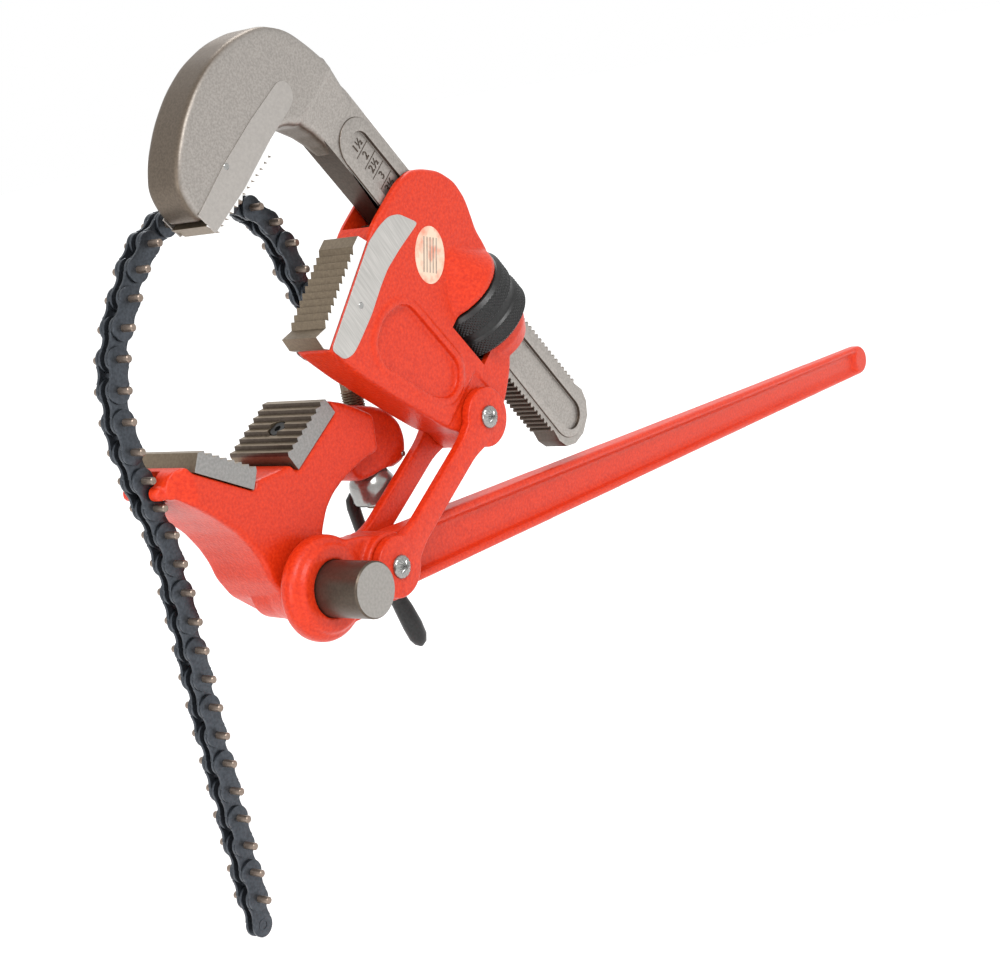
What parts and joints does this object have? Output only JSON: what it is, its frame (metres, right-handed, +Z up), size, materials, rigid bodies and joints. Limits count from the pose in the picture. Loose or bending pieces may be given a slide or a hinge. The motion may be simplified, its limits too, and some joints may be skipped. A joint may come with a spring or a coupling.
{
  "type": "compound leverage pipe wrench",
  "caption": "Large red pipe wrench on a long handle, joined by links to a chain vise that clamps the same pipe; black chain, crank and knurled nut.",
  "frame": {"origin": "axis of the gripped pipe (88.9 mm outside diameter) where it lies in the vise's V, in the middle of the vise's width", "axes": "+X along the handle, +Z up, with the pipe level and the free chain hanging plumb; -Y is the side that the picture shows, with the wrench and the main pin's end"},
  "size_m": [1.125, 0.1512, 0.7486],
  "materials": {
    "red_paint": "gloss enamel over a cast texture",
    "forged_steel": "satin forged steel, clear coated",
    "hardened_steel": "brown-grey hardened steel",
    "blackened_steel": "matte black oxide",
    "bright_steel": "bright machined steel",
    "chain_steel": "dark blue-grey oiled steel"
  },
  "bodies": {
    "vise": {"trunnion_body": "red_paint", "left_vise_jaw": "hardened_steel", "right_vise_jaw": "hardened_steel", "left_jaw_screw": "blackened_steel", "right_jaw_screw": "blackened_steel", "main_pin": "hardened_steel", "nut_keeper_pin": "bright_steel"},
    "chain_wrap": {"chain_screw": "blackened_steel", "chain_link_01": "chain_steel", "chain_link_02": "chain_steel", "chain_link_03": "chain_steel", "chain_link_04": "chain_steel", "chain_link_05": "chain_steel", "chain_link_06": "chain_steel", "chain_link_07": "chain_steel", "chain_link_08": "chain_steel", "chain_link_09": "chain_steel", "chain_link_10": "chain_steel", "chain_link_11": "chain_steel", "chain_link_12": "chain_steel", "chain_link_13": "chain_steel", "chain_link_14": "chain_steel", "chain_link_15": "chain_steel", "chain_link_16": "chain_steel"},
    "nut_and_crank": {"chain_nut": "blackened_steel", "crank_handle": "blackened_steel"},
    "chain_side": {"chain_link_17": "chain_steel", "chain_link_18": "chain_steel", "chain_link_19": "chain_steel"},
    "chain_hooked": {"chain_link_20": "chain_steel", "chain_link_21": "chain_steel"},
    "tail_upper": {"chain_link_22": "chain_steel", "chain_link_23": "chain_steel", "chain_link_24": "chain_steel", "chain_link_25": "chain_steel", "chain_link_26": "chain_steel", "chain_link_27": "chain_steel", "chain_link_28": "chain_steel"},
    "tail_lower": {"chain_link_29": "chain_steel", "chain_link_30": "chain_steel", "chain_link_31": "chain_steel", "chain_link_32": "chain_steel", "chain_link_33": "chain_steel", "chain_link_34": "chain_steel", "chain_link_35": "chain_steel", "chain_link_36": "chain_steel"},
    "handle_arm": {"handle": "red_paint"},
    "link_pair": {"front_link": "red_paint", "back_link": "red_paint", "lower_rivet": "bright_steel", "upper_rivet": "bright_steel"},
    "head": {"housing": "red_paint", "heel_jaw_insert": "hardened_steel", "heel_jaw_pin": "bright_steel", "jaw_spring": "bright_steel"},
    "hook": {"hook_jaw": "forged_steel", "hook_jaw_insert": "hardened_steel", "hook_jaw_pin": "bright_steel"},
    "nut": {"jaw_nut": "blackened_steel"}
  },
  "joints": [
    {"name": "chain_screw_slide", "type": "slide", "parent": "vise", "child": "chain_wrap", "axis": [0, 0, -1], "range_m": [-0.0011, 0.0006]},
    {"name": "chain_nut_spin", "type": "hinge", "parent": "vise", "child": "nut_and_crank", "pos_m": [0.1495, 0, -0.11], "axis": [0, 0, 1], "range_deg": [-158, 87]},
    {"name": "chain_pin_16", "type": "hinge", "parent": "chain_wrap", "child": "chain_side", "pos_m": [-0.11088, 0, 0.07929], "axis": [0, -1, 0], "range_deg": [-12, 0]},
    {"name": "chain_pin_19", "type": "hinge", "parent": "chain_side", "child": "chain_hooked", "pos_m": [-0.12067, 0, 0.00439], "axis": [0, -1, 0], "range_deg": [-15, 0]},
    {"name": "chain_pin_21", "type": "hinge", "parent": "chain_hooked", "child": "tail_upper", "pos_m": [-0.11236, 0, -0.0457], "axis": [0, -1, 0], "range_deg": [-35, 6]},
    {"name": "chain_pin_28", "type": "hinge", "parent": "tail_upper", "child": "tail_lower", "pos_m": [-0.10726, 0, -0.22298], "axis": [0, -1, 0], "range_deg": [-40, 40]},
    {"name": "handle_pivot", "type": "hinge", "parent": "vise", "child": "handle_arm", "pos_m": [0.007, 0, -0.158], "axis": [0, -1, 0], "range_deg": [-15, 9]},
    {"name": "link_pivot", "type": "hinge", "parent": "handle_arm", "child": "link_pair", "pos_m": [0.07447, -0.054, -0.16224], "axis": [0, -1, 0], "range_deg": [-3, 5]},
    {"name": "head_pivot", "type": "hinge", "parent": "link_pair", "child": "head", "pos_m": [0.23245, -0.054, -0.0725], "axis": [0, -1, 0], "range_deg": [-2, 4]},
    {"name": "jaw_slide", "type": "slide", "parent": "head", "child": "hook", "axis": [0.5948, 0, -0.8039], "range_m": [-0.008, 0.016]},
    {"name": "jaw_nut_spin", "type": "hinge", "parent": "head", "child": "nut", "pos_m": [0.30641, -0.054, -0.01777], "axis": [0.5948, 0, -0.8039], "range_deg": [-460, 920]}
  ],
  "couplings": [
    {"joint": "chain_nut_spin", "follows": "chain_screw_slide", "rad_per_m": 2473.7},
    {"joint": "jaw_nut_spin", "follows": "jaw_slide", "rad_per_m": 989.48}
  ]
}
